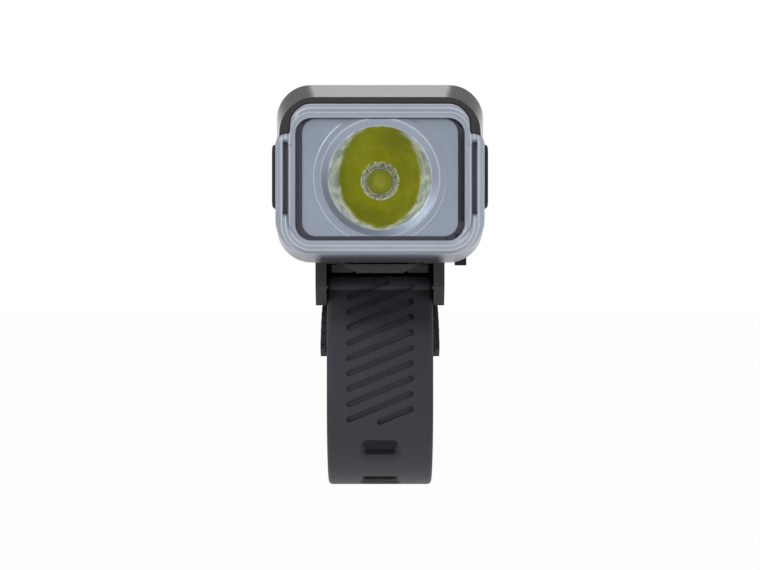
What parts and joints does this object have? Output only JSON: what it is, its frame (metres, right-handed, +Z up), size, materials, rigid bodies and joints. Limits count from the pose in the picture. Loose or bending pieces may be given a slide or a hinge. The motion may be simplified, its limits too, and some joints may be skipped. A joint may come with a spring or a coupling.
{
  "type": "bike headlight",
  "caption": "Small box-shaped bicycle headlight with a frosted lens, a reflector bowl and a slide-on bracket with a rubber strap.",
  "frame": {"origin": "centre of the handlebar that the bracket clamps, midway between the strap's sides", "axes": "+X along the handlebar, to the right seen from the front; +Y to the rear, so the lamp looks along -Y; +Z up"},
  "size_m": [0.0448, 0.094, 0.0871],
  "materials": {
    "clear_polycarbonate": "clear moulding, frosted round its edge",
    "black_seal_rubber": "matt",
    "reflector_metallised": "mirror bowl, satin plate",
    "led_silicone": "clear dome",
    "led_ceramic": "phosphor on white ceramic",
    "circuit_board": "solder mask",
    "board_metal_core": "white-faced metal core",
    "sink_aluminium": "plain",
    "top_cover_black": "satin black",
    "housing_black": "fine texture",
    "grip_rubber": "matt",
    "button_rubber": "soft touch",
    "light_pipe": "frosted",
    "cell_sleeve": "shrink sleeve",
    "cradle_plastic": "plain",
    "nickel": "plated strip",
    "switch_metal": "stamped",
    "port_steel": "stamped",
    "screw_steel": "blackened",
    "pin_steel": "ground",
    "bracket_plastic": "glass-filled, satin",
    "lever_plastic": "polished",
    "strap_rubber": "soft matt",
    "pad_rubber": "matt"
  },
  "bodies": {
    "bracket": {"bracket_body": "bracket_plastic", "saddle_pad": "pad_rubber", "strap_pin": "pin_steel", "strap_front": "strap_rubber"},
    "strap_lower": {"strap_rear": "strap_rubber"},
    "strap_end": {"strap_tail": "strap_rubber"},
    "lamp": {"lens_cover": "clear_polycarbonate", "lens_gasket": "black_seal_rubber", "reflector": "reflector_metallised", "led_dome": "led_silicone", "led_emitter": "led_ceramic", "led_board": "board_metal_core", "heat_sink": "sink_aluminium", "top_shell": "top_cover_black", "bottom_shell": "housing_black", "shell_seal": "black_seal_rubber", "side_grip_left": "grip_rubber", "side_grip_right": "grip_rubber", "indicator_window": "light_pipe", "battery_cell": "cell_sleeve", "battery_cradle": "cradle_plastic", "battery_tabs": "nickel", "main_board": "circuit_board", "port_board": "circuit_board", "tact_switch": "switch_metal", "usb_port": "port_steel", "housing_screws": "screw_steel", "shoe_screws": "screw_steel", "mount_shoe": "bracket_plastic", "lever_pin": "pin_steel"},
    "latch": {"release_lever": "lever_plastic"},
    "button": {"power_button": "button_rubber"},
    "flap": {"port_cover": "grip_rubber"}
  },
  "joints": [
    {"name": "lamp_slide", "type": "slide", "parent": "bracket", "child": "lamp", "axis": [0, -1, 0], "range_m": [0, 0.032]},
    {"name": "latch_lift", "type": "hinge", "parent": "lamp", "child": "latch", "pos_m": [0, 0.007, 0.02975], "axis": [-1, 0, 0], "range_deg": [0, 3.4], "stiffness_Nm_per_rad": 0.3},
    {"name": "button_press", "type": "slide", "parent": "lamp", "child": "button", "axis": [0, 0, -1], "range_m": [0, 0.0006], "stiffness_N_per_m": 3500},
    {"name": "flap_open", "type": "hinge", "parent": "lamp", "child": "flap", "pos_m": [0.0206, 0.026, 0.03676], "axis": [0, -1, 0], "range_deg": [0, 80], "stiffness_Nm_per_rad": 0.003},
    {"name": "strap_open", "type": "hinge", "parent": "bracket", "child": "strap_lower", "pos_m": [0, 0, -0.0203], "axis": [-1, 0, 0], "range_deg": [0, 40], "stiffness_Nm_per_rad": 0.06},
    {"name": "strap_peel", "type": "hinge", "parent": "strap_lower", "child": "strap_end", "pos_m": [0, 0.01941, -0.00594], "axis": [-1, 0, 0], "range_deg": [0, 100], "stiffness_Nm_per_rad": 0.03}
  ],
  "couplings": [
    {"joint": "strap_peel", "follows": "strap_open", "ratio": 2.5}
  ]
}
